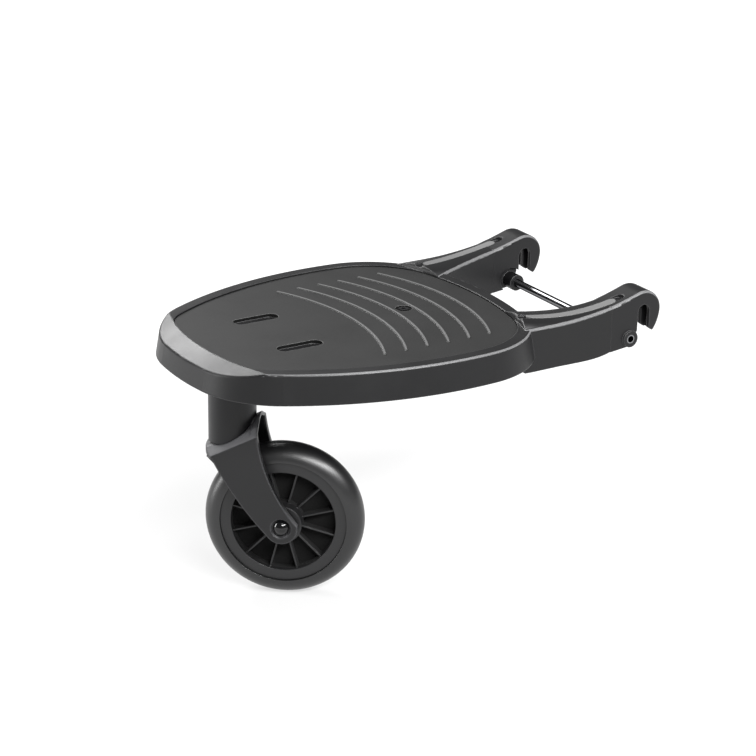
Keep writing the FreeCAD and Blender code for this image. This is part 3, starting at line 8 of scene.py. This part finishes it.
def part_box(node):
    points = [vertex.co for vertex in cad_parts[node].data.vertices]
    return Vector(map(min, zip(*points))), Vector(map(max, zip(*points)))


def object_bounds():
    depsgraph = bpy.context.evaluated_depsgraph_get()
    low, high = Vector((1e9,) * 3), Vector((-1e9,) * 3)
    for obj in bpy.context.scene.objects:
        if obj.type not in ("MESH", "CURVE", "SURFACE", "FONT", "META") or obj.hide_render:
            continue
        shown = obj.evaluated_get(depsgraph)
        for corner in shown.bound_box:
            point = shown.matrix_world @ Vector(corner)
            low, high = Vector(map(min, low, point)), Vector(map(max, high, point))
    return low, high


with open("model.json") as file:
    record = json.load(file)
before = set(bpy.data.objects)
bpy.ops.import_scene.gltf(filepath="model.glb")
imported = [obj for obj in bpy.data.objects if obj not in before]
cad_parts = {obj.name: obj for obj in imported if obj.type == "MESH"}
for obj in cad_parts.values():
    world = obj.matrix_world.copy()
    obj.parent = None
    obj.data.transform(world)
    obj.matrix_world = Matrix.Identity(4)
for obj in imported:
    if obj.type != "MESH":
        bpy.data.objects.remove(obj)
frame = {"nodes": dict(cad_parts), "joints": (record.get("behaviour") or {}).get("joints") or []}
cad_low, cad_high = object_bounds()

# Camera
# A long studio lens looks down on the board's right rear corner, close to level with a slight roll.
# Its place is found from the wheel, the tread ribs, the slots and the hooks.
CAMERA_AZIMUTH = math.radians(58.36)
CAMERA_ELEVATION = math.radians(20.80)
CAMERA_ROLL = math.radians(-0.81)
CAMERA_TARGET_M = Vector((0.0, -0.17994, -0.05094))
CAMERA_DISTANCE_M = 1.89887
CAMERA_LENS_MM = 118.75
CAMERA_SENSOR_MM = 36.0
CAMERA_FAR_M = 50.0

camera_back = Vector((math.sin(CAMERA_AZIMUTH) * math.cos(CAMERA_ELEVATION),
                      -math.cos(CAMERA_AZIMUTH) * math.cos(CAMERA_ELEVATION),
                      math.sin(CAMERA_ELEVATION)))
camera_right = Vector((math.cos(CAMERA_AZIMUTH), math.sin(CAMERA_AZIMUTH), 0.0))
camera_up = camera_back.cross(camera_right)
rolled_right = math.cos(CAMERA_ROLL) * camera_right - math.sin(CAMERA_ROLL) * camera_up
rolled_up = math.sin(CAMERA_ROLL) * camera_right + math.cos(CAMERA_ROLL) * camera_up
camera_axes = Matrix((rolled_right, rolled_up, camera_back)).transposed().to_4x4()
camera_place = Matrix.Translation(CAMERA_TARGET_M + CAMERA_DISTANCE_M * camera_back)

camera_data = bpy.data.cameras.new("studio_camera")
camera_data.lens = CAMERA_LENS_MM
camera_data.sensor_width = CAMERA_SENSOR_MM
camera_data.clip_end = CAMERA_FAR_M
camera = bpy.data.objects.new("studio_camera", camera_data)
bpy.context.scene.collection.objects.link(camera)
camera.matrix_world = camera_place @ camera_axes
bpy.context.scene.camera = camera

# Studio floor and light
# A white light table under the wheel in a dim room. Soft boxes hang overhead, behind the far side for
# the bright rear band, and on the right for the tyre's shoulder; a strip on the left edges the stem.
FLOOR_REACH_M = 9.0
FLOOR_BELOW_WHEEL_M = 0.0002
FLOOR_COLOUR = "#8a8a8a"
GLOW_COLOUR = "#ffffff"
GLOW_UNDER_WHEEL = 0.64
GLOW_FAR = 1.02
GLOW_NEAR_M = 0.25
GLOW_FAR_M = 1.25
ROOM_COLOUR = "#ffffff"
ROOM_STRENGTH = 0.19
LIGHT_AIM_M = Vector((0.0, -0.18, -0.05))
SOFT_BOXES = (
    # name, place in metres, width and height in metres, watts
    ("overhead_strip", (0.58, 0.09, 1.48), 1.6, 0.5, 11.0),
    ("far_side_box", (-1.37, -0.28, 1.12), 0.8, 1.25, 39.0),
    ("right_strip", (1.50, -0.15, 1.08), 1.7, 0.30, 60.0),
    ("left_strip", (-0.75, -1.75, 0.35), 0.35, 1.2, 20.0),
)


def linear(hex_colour):
    """sRGB hex text to linear red, green, blue and alpha, by the two-part sRGB curve."""
    parts = np.array([int(hex_colour[k:k + 2], 16) for k in (1, 3, 5)]) / 255
    low = parts / 12.92
    high = ((parts + 0.055) / 1.055) ** 2.4
    return (*np.where(parts <= 0.04045, low, high).tolist(), 1.0)


def new_material(name):
    """Empty node material and its tree."""
    material = bpy.data.materials.new(name)
    material.use_nodes = True
    material.node_tree.nodes.clear()
    return material, material.node_tree


def node(tree, kind, inputs=(), **properties):
    """Adds one node: an input is linked where its value is a socket, and set where it is a number.

    Numbered inputs: a Map Range takes the value (0), its two limits (1, 2) and what they become (3, 4);
    a Mix takes the share (0), two numbers (2, 3) or two colours (6, 7).
    """
    made = tree.nodes.new(kind)
    for name, value in properties.items():
        setattr(made, name, value)
    for key, value in dict(inputs).items():
        if isinstance(value, bpy.types.NodeSocket):
            tree.links.new(value, made.inputs[key])
        else:
            made.inputs[key].default_value = value
    return made


# Backlit white acrylic: the lamps light it near the wheel and its own glow takes over farther out, so it
# looks even and white, with only a faint shadow
floor_material, tree = new_material("backlit_white_acrylic")
place = node(tree, "ShaderNodeTexCoord")
from_board = node(tree, "ShaderNodeVectorMath", {0: place.outputs["Object"], 1: LIGHT_AIM_M},
                  operation="SUBTRACT")
reach = node(tree, "ShaderNodeVectorMath", {0: from_board.outputs[0]}, operation="LENGTH")
strength = node(tree, "ShaderNodeMapRange", {0: reach.outputs["Value"], 1: GLOW_NEAR_M, 2: GLOW_FAR_M,
                                             3: GLOW_UNDER_WHEEL, 4: GLOW_FAR})
paper = node(tree, "ShaderNodeBsdfDiffuse", {"Color": linear(FLOOR_COLOUR)})
glow = node(tree, "ShaderNodeEmission", {"Color": linear(GLOW_COLOUR), "Strength": strength.outputs[0]})
lit = node(tree, "ShaderNodeAddShader", {0: paper.outputs[0], 1: glow.outputs[0]})
node(tree, "ShaderNodeOutputMaterial", {"Surface": lit.outputs[0]})

floor_corners = np.array([(-1, -1), (1, -1), (1, 1), (-1, 1)]) * FLOOR_REACH_M
floor_points = np.column_stack([floor_corners, np.full(4, cad_low.z - FLOOR_BELOW_WHEEL_M)])
floor_mesh = bpy.data.meshes.new("studio_floor")
floor_mesh.from_pydata(floor_points.tolist(), [], [(0, 1, 2, 3)])
floor_mesh.materials.append(floor_material)
floor = bpy.data.objects.new("studio_floor", floor_mesh)
bpy.context.scene.collection.objects.link(floor)

room = bpy.data.worlds.new("studio_room")
room.use_nodes = True
room_light = room.node_tree.nodes["Background"]
room_light.inputs["Color"].default_value = linear(ROOM_COLOUR)
room_light.inputs["Strength"].default_value = ROOM_STRENGTH
bpy.context.scene.world = room
bpy.context.scene.view_settings.view_transform = "Standard"

for name, lamp_place, width, height, watts in SOFT_BOXES:
    lamp_data = bpy.data.lights.new(name, "AREA")
    lamp_data.shape = "RECTANGLE"
    lamp_data.size = width
    lamp_data.size_y = height
    lamp_data.energy = watts
    lamp = bpy.data.objects.new(name, lamp_data)
    lamp.location = lamp_place
    lamp.rotation_euler = (LIGHT_AIM_M - Vector(lamp_place)).to_track_quat("-Z", "Y").to_euler()
    bpy.context.scene.collection.objects.link(lamp)

# Deck shell
# One charcoal moulding of glass-filled polypropylene: deck, skirt, arms and hooks. The tool was spark
# eroded, which leaves a dull grain, and shoes and hands rub the long edges smoother. Their paler colour is
# partly that wear and partly a painted highlight.
MOTTLE_MM = 45.0
MOTTLE_GLOSS_SWING = 0.05
NOISE_LOW = 0.3
NOISE_HIGH = 0.7
GRAIN_STRENGTH = 0.6
PLASTIC_IOR = 1.49
EDGE_PROBES = 6
EDGE_STARTS = 0.98
EDGE_FULL = 0.80
EDGE_ROUGHNESS_SHARE = 0.75


def moulded_plastic(name, dark, light, rubbed_and_highlight, roughness, grain_mm, grain_depth_mm, edge_mm, gleam=0.5):
    """Moulded plastic: slow mottle in colour and gloss, an eroded grain, rounded edges rubbed smoother.

    The rubbed edge is where the rounded normal leaves the flat face's own normal, by the cosine between
    them. There it is smoother, and its paler colour is partly wear and partly a painted highlight. The real
    grain is too fine to show, so it is drawn coarser.
    """
    material, tree = new_material(name)
    place = node(tree, "ShaderNodeTexCoord")
    mottle = node(tree, "ShaderNodeTexNoise", {"Vector": place.outputs["Object"], "Scale": 1000 / MOTTLE_MM,
                                               "Detail": 4.0, "Roughness": 0.6})
    grain = node(tree, "ShaderNodeTexNoise", {"Vector": place.outputs["Object"], "Scale": 1000 / grain_mm,
                                              "Detail": 3.0, "Roughness": 0.7})
    rounded = node(tree, "ShaderNodeBevel", {"Radius": edge_mm / 1000}, samples=EDGE_PROBES)
    surface = node(tree, "ShaderNodeNewGeometry")
    turned = node(tree, "ShaderNodeVectorMath", {0: rounded.outputs[0], 1: surface.outputs["Normal"]},
                  operation="DOT_PRODUCT")
    edge_wear_and_highlight = node(tree, "ShaderNodeMapRange", {0: turned.outputs["Value"], 1: EDGE_STARTS, 2: EDGE_FULL,
                                             3: 0.0, 4: 1.0})
    base = node(tree, "ShaderNodeMix", {0: mottle.outputs[0], 6: linear(dark), 7: linear(light)},
                data_type="RGBA")
    # Rounded edges: the paler colour is partly wear and partly a painted highlight
    colour = node(tree, "ShaderNodeMix", {0: edge_wear_and_highlight.outputs[0], 6: base.outputs[2], 7: linear(rubbed_and_highlight)},
                  data_type="RGBA")
    dull = node(tree, "ShaderNodeMapRange", {0: mottle.outputs[0], 1: NOISE_LOW, 2: NOISE_HIGH,
                                             3: roughness - MOTTLE_GLOSS_SWING,
                                             4: roughness + MOTTLE_GLOSS_SWING})
    gloss = node(tree, "ShaderNodeMix", {0: edge_wear_and_highlight.outputs[0], 2: dull.outputs[0],
                                         3: roughness * EDGE_ROUGHNESS_SHARE}, data_type="FLOAT")
    bump = node(tree, "ShaderNodeBump", {"Height": grain.outputs[0], "Strength": GRAIN_STRENGTH,
                                         "Distance": grain_depth_mm / 1000, "Normal": rounded.outputs[0]})
    shader = node(tree, "ShaderNodeBsdfPrincipled", {
        "Base Color": colour.outputs[2], "Roughness": gloss.outputs[0], "IOR": PLASTIC_IOR,
        "Specular IOR Level": gleam, "Normal": bump.outputs[0]})
    node(tree, "ShaderNodeOutputMaterial", {"Surface": shader.outputs[0]})
    return material


def dress(material, *names):
    """Gives CAD nodes their material in every slot."""
    for name in names:
        for slot in frame["nodes"][name].material_slots:
            slot.material = material


def span(tree, value, low, low_full, high_full, high):
    """Mask: rises from low to low_full, stays one, and falls from high_full to high."""
    rise = node(tree, "ShaderNodeMapRange", {0: value, 1: low, 2: low_full})
    fall = node(tree, "ShaderNodeMapRange", {0: value, 1: high, 2: high_full})
    between = node(tree, "ShaderNodeMath", {0: rise.outputs[0], 1: fall.outputs[0]}, operation="MULTIPLY")
    return between.outputs[0]


def overlay(material, mask, colour, roughness):
    """Lays a second colour and gloss over the material's own where the mask is one."""
    tree = material.node_tree
    shader = tree.nodes["Principled BSDF"]
    own_colour = shader.inputs["Base Color"].links[0].from_socket
    own_gloss = shader.inputs["Roughness"].links[0].from_socket
    tint = node(tree, "ShaderNodeMix", {0: mask, 6: own_colour, 7: linear(colour)}, data_type="RGBA")
    gloss = node(tree, "ShaderNodeMix", {0: mask, 2: own_gloss, 3: roughness}, data_type="FLOAT")
    tree.links.new(tint.outputs[2], shader.inputs["Base Color"])
    tree.links.new(gloss.outputs[0], shader.inputs["Roughness"])


shell = moulded_plastic("glass_filled_polypropylene_eroded", "#101011", "#161617", "#464647",
                        roughness=0.42, grain_mm=0.9, grain_depth_mm=0.03, edge_mm=1.3, gleam=0.29)

# The long rounded edges along the deck's sides and the arms carry a painted highlight: faces that lean up
# and sideways are painted pale, and faces that look to the rear stay dark. The limits are parts of the
# face's direction.
HIGHLIGHT_UPWARD = (0.22, 0.40, 0.92, 0.985)
HIGHLIGHT_SIDEWAYS_STARTS = 0.2
HIGHLIGHT_SIDEWAYS_FULL = 0.35
REARWARD_UNLIT = -0.45
REARWARD_HIGHLIT = -0.25

tree = shell.node_tree
facing = node(tree, "ShaderNodeSeparateXYZ", {0: node(tree, "ShaderNodeNewGeometry").outputs["Normal"]})
upward = span(tree, facing.outputs["Z"], *HIGHLIGHT_UPWARD)
sideways = node(tree, "ShaderNodeMath", {0: facing.outputs["X"]}, operation="ABSOLUTE")
along = node(tree, "ShaderNodeMapRange", {0: sideways.outputs[0], 1: HIGHLIGHT_SIDEWAYS_STARTS,
                                          2: HIGHLIGHT_SIDEWAYS_FULL})
not_rear = node(tree, "ShaderNodeMapRange", {0: facing.outputs["Y"], 1: REARWARD_UNLIT, 2: REARWARD_HIGHLIT})
leaning = node(tree, "ShaderNodeMath", {0: upward, 1: along.outputs[0]}, operation="MULTIPLY")
painted_edge_highlight = node(tree, "ShaderNodeMath", {0: leaning.outputs[0], 1: not_rear.outputs[0]}, operation="MULTIPLY")
# Painted highlight: pale colour and more gloss on edge faces that lean up and sideways
overlay(shell, painted_edge_highlight.outputs[0], "#6c6c6d", roughness=0.36)
dress(shell, "deck_shell")

# Tread panel
# A plate of softer matte plastic let into the deck, coarsely grained for grip. Shoes rub the crests of its
# raised arcs smooth, and their pale colour is partly that wear and partly a painted highlight. The walls of
# the slots and of the screw's recess are painted black as shade.
CREST_STARTS_MM = 0.675
CREST_FULL_MM = 0.225
SUNK_STARTS_MM = 1.05
SUNK_FULL_MM = 1.4

tread = moulded_plastic("thermoplastic_tread_coarse_grain", "#1e1e1e", "#242424", "#6c6c6c",
                        roughness=0.55, grain_mm=1.3, grain_depth_mm=0.08, edge_mm=0.8, gleam=0.2)

# Both masks go by the depth below the top of the arcs
tree = tread.node_tree
crest_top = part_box("tread_panel")[1][2]
place = node(tree, "ShaderNodeTexCoord")
height = node(tree, "ShaderNodeSeparateXYZ", {0: place.outputs["Object"]})
crest_wear_and_highlight = node(tree, "ShaderNodeMapRange", {0: height.outputs["Z"], 1: crest_top - CREST_STARTS_MM / 1000,
                                          2: crest_top - CREST_FULL_MM / 1000})
# Crests of the arcs: pale colour, partly shoe wear and partly a painted highlight
overlay(tread, crest_wear_and_highlight.outputs[0], "#5c5c5c", roughness=0.45)
# Painted shade: the slot walls and the screw's recess, deep below the arcs, are painted black
painted_shade_sunk = node(tree, "ShaderNodeMapRange", {0: height.outputs["Z"], 1: crest_top - SUNK_STARTS_MM / 1000,
                                         2: crest_top - SUNK_FULL_MM / 1000})
overlay(tread, painted_shade_sunk.outputs[0], "#030303", roughness=0.9)
dress(tread, "tread_panel")

# Tread screw
# A small countersunk steel screw that holds the panel, sunk in its recess. Blackening leaves it a dark
# satin grey.
SCRATCH_MM = 1.5
SCRATCH_SMOOTH_SHARE = 0.75
SCRATCH_DULL_SHARE = 1.3


def metal(name, colour, roughness, edge_tint="#ffffff"):
    """Bare or plated metal with fine scratches that vary its gloss; the tint is that at its far edges.

    The real scratches are too fine to show, so they are drawn coarser.
    """
    material, tree = new_material(name)
    place = node(tree, "ShaderNodeTexCoord")
    marks = node(tree, "ShaderNodeTexNoise", {"Vector": place.outputs["Object"], "Scale": 1000 / SCRATCH_MM,
                                              "Detail": 4.0})
    gloss = node(tree, "ShaderNodeMapRange", {0: marks.outputs[0], 1: NOISE_LOW, 2: NOISE_HIGH,
                                              3: roughness * SCRATCH_SMOOTH_SHARE,
                                              4: roughness * SCRATCH_DULL_SHARE})
    shader = node(tree, "ShaderNodeBsdfPrincipled", {
        "Base Color": linear(colour), "Metallic": 1.0, "Roughness": gloss.outputs[0],
        "Specular Tint": linear(edge_tint)})
    node(tree, "ShaderNodeOutputMaterial", {"Surface": shader.outputs[0]})
    return material


dress(metal("blackened_steel", "#4a4a4c", roughness=0.32), "tread_screw")

# Light strips on the arms
# Pale grey ABS strips pressed into their grooves along the crown of each arm. They come from a smooth
# tool, so they are satin and even.
dress(moulded_plastic("grey_abs_satin", "#646464", "#6e6e6e", "#808080",
                      roughness=0.4, grain_mm=1.0, grain_depth_mm=0.01, edge_mm=0.4),
      "arm_inlay_left", "arm_inlay_right")

# Cross rod and its end screws
# A drawn steel rod, chromed and polished, that mirrors a lamp as one white streak between dark edges, which
# are partly a painted shade: a dark tint at its grazing edges. A plated socket screw holds each end: its
# ring is bright, and the socket in it is painted black as shade.
SOCKET_BLACK_MM = 2.55
RING_FULL_MM = 2.8
RING_COLOUR = "#8e8f91"
SOCKET_SHADE_COLOUR = "#020202"

# Painted shade: the dark tint darkens the chrome at its grazing edges
dress(metal("polished_chrome", "#7e7e80", roughness=0.12, edge_tint="#3a3a3c"), "cross_rod")

# The ring starts at a distance from the rod's axis, measured across it
rod_low, rod_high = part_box("cross_rod")
rod_centre = (Vector(rod_low) + Vector(rod_high)) / 2
screw_steel = metal("zinc_plated_steel_shaded_socket", RING_COLOUR, roughness=0.25)
tree = screw_steel.node_tree
place = node(tree, "ShaderNodeTexCoord")
from_axis = node(tree, "ShaderNodeVectorMath", {0: place.outputs["Object"], 1: rod_centre},
                 operation="SUBTRACT")
across = node(tree, "ShaderNodeVectorMath", {0: from_axis.outputs[0], 1: (0.0, 1.0, 1.0)},
              operation="MULTIPLY")
distance = node(tree, "ShaderNodeVectorMath", {0: across.outputs[0]}, operation="LENGTH")
ring = node(tree, "ShaderNodeMapRange", {0: distance.outputs["Value"], 1: SOCKET_BLACK_MM / 1000,
                                         2: RING_FULL_MM / 1000, 3: 0.0, 4: 1.0})
# Painted shade: the socket inside the ring is painted black
socket_shade_mix = node(tree, "ShaderNodeMix", {0: ring.outputs[0], 6: linear(SOCKET_SHADE_COLOUR), 7: linear(RING_COLOUR)},
             data_type="RGBA")
tree.links.new(socket_shade_mix.outputs[2], tree.nodes["Principled BSDF"].inputs["Base Color"])
dress(screw_steel, "rod_end_screws")

# Swivel housing with its screws and bushes
# The stem tube under the deck, moulded in the deck's plastic and held by four zinc-plated screws of a pale
# satin grey. Two natural acetal bushes inside, waxy and off-white, carry the kingpin.
dress(moulded_plastic("glass_filled_polypropylene_stem", "#131314", "#18181a", "#2a2a2b",
                      roughness=0.40, grain_mm=0.9, grain_depth_mm=0.025, edge_mm=0.8, gleam=0.3),
      "swivel_housing")
plated = metal("zinc_plated_steel", "#b9babc", roughness=0.3)
dress(plated, "housing_screws")
acetal = moulded_plastic("natural_acetal", "#cfccc2", "#d8d5cc", "#e0ddd4",
                         roughness=0.35, grain_mm=1.0, grain_depth_mm=0.005, edge_mm=0.2)
dress(acetal, "upper_bush", "lower_bush")

# Kingpin, its washers and nut
# A plated steel pin held in the fork's crown, with a washer and nut in the housing's well and an
# acetal thrust washer under the tube.
dress(plated, "kingpin", "kingpin_washer", "kingpin_nut")
dress(acetal, "thrust_washer")

# Fork
# Crown and two raked legs in one moulding of the deck's plastic, with generously rounded edges. The crown's
# sloping ledge, which faces up, is painted paler than the upright faces as a highlight.
LEDGE_HIGHLIGHT_UPWARD = (0.5, 0.7, 0.93, 0.99)

fork_plastic = moulded_plastic("glass_filled_polypropylene_fork", "#151516", "#1b1b1c", "#444446",
                               roughness=0.42, grain_mm=0.9, grain_depth_mm=0.025, edge_mm=2.6, gleam=0.34)
tree = fork_plastic.node_tree
facing = node(tree, "ShaderNodeSeparateXYZ", {0: node(tree, "ShaderNodeNewGeometry").outputs["Normal"]})
ledge_painted_highlight = span(tree, facing.outputs["Z"], *LEDGE_HIGHLIGHT_UPWARD)
# Painted highlight on the upward-facing ledge
overlay(fork_plastic, ledge_painted_highlight, "#5c5c5e", roughness=0.45)
dress(fork_plastic, "fork")

# Axle, caps and washers
# A plated pin through both legs, closed by domed caps of black nylon from a polished tool, which are
# glossy. Acetal washers lie beside the hub.
dress(plated, "axle_pin")
dress(moulded_plastic("gloss_black_nylon", "#08080a", "#0c0c0d", "#101011",
                      roughness=0.12, grain_mm=2.0, grain_depth_mm=0.002, edge_mm=0.3), "axle_caps")
dress(acetal, "wheel_washers")

# Tyre
# Smooth solid rubber, moulded in a polished tool and dulled a little by dust, so its shoulder carries a
# soft broad gleam.
dress(moulded_plastic("smooth_black_rubber", "#0e0e0f", "#131314", "#222223",
                      roughness=0.36, grain_mm=0.8, grain_depth_mm=0.012, edge_mm=0.4, gleam=0.65), "tyre")

# Wheel rim
# A dark nylon moulding on two acetal bushes: ring, thin web, ribs and hub. The ring and the rib edges keep
# the nylon's own colour, and the web deep between the ribs is painted almost black as shade and left rough.
WEB_DEPTH_MM = 6.0
RIB_EDGE_MM = 8.4
WEB_SHADE_COLOUR = "#010101"
RING_NYLON_COLOUR = "#19191a"
WEB_ROUGHNESS = 1.0
RING_ROUGHNESS = 0.42
RIM_GRAIN_MM = 0.8
RIM_GRAIN_DEPTH_MM = 0.02
RIM_EDGE_MM = 1.0

# The web and the rib edges are told apart by their distance from the wheel's middle, along the axle
wheel_spin = next(joint for joint in frame["joints"] if joint["name"] == "wheel_spin")
rim_low, rim_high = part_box("wheel_rim")
rim_centre = (Vector(rim_low) + Vector(rim_high)) / 2
rim_nylon, tree = new_material("moulded_rim_nylon")
place = node(tree, "ShaderNodeTexCoord")
from_centre = node(tree, "ShaderNodeVectorMath", {0: place.outputs["Object"], 1: rim_centre},
                   operation="SUBTRACT")
along = node(tree, "ShaderNodeVectorMath", {0: from_centre.outputs[0], 1: wheel_spin["axis"]},
             operation="DOT_PRODUCT")
depth = node(tree, "ShaderNodeMath", {0: along.outputs["Value"]}, operation="ABSOLUTE")
outside_web_shade = node(tree, "ShaderNodeMapRange", {0: depth.outputs[0], 1: WEB_DEPTH_MM / 1000,
                                          2: RIB_EDGE_MM / 1000, 3: 0.0, 4: 1.0})
# Painted shade: the web deep between the ribs is painted almost black
colour = node(tree, "ShaderNodeMix", {0: outside_web_shade.outputs[0], 6: linear(WEB_SHADE_COLOUR),
                                      7: linear(RING_NYLON_COLOUR)}, data_type="RGBA")
grain = node(tree, "ShaderNodeTexNoise", {"Vector": place.outputs["Object"], "Scale": 1000 / RIM_GRAIN_MM,
                                          "Detail": 3.0})
gloss = node(tree, "ShaderNodeMapRange", {0: outside_web_shade.outputs[0], 1: 0.0, 2: 1.0, 3: WEB_ROUGHNESS,
                                          4: RING_ROUGHNESS})
rounded = node(tree, "ShaderNodeBevel", {"Radius": RIM_EDGE_MM / 1000}, samples=EDGE_PROBES)
bump = node(tree, "ShaderNodeBump", {"Height": grain.outputs[0], "Strength": GRAIN_STRENGTH,
                                     "Distance": RIM_GRAIN_DEPTH_MM / 1000, "Normal": rounded.outputs[0]})
shader = node(tree, "ShaderNodeBsdfPrincipled", {
    "Base Color": colour.outputs[2], "Roughness": gloss.outputs[0], "IOR": PLASTIC_IOR,
    "Normal": bump.outputs[0]})
node(tree, "ShaderNodeOutputMaterial", {"Surface": shader.outputs[0]})
dress(rim_nylon, "wheel_rim")
dress(acetal, "wheel_bushes")
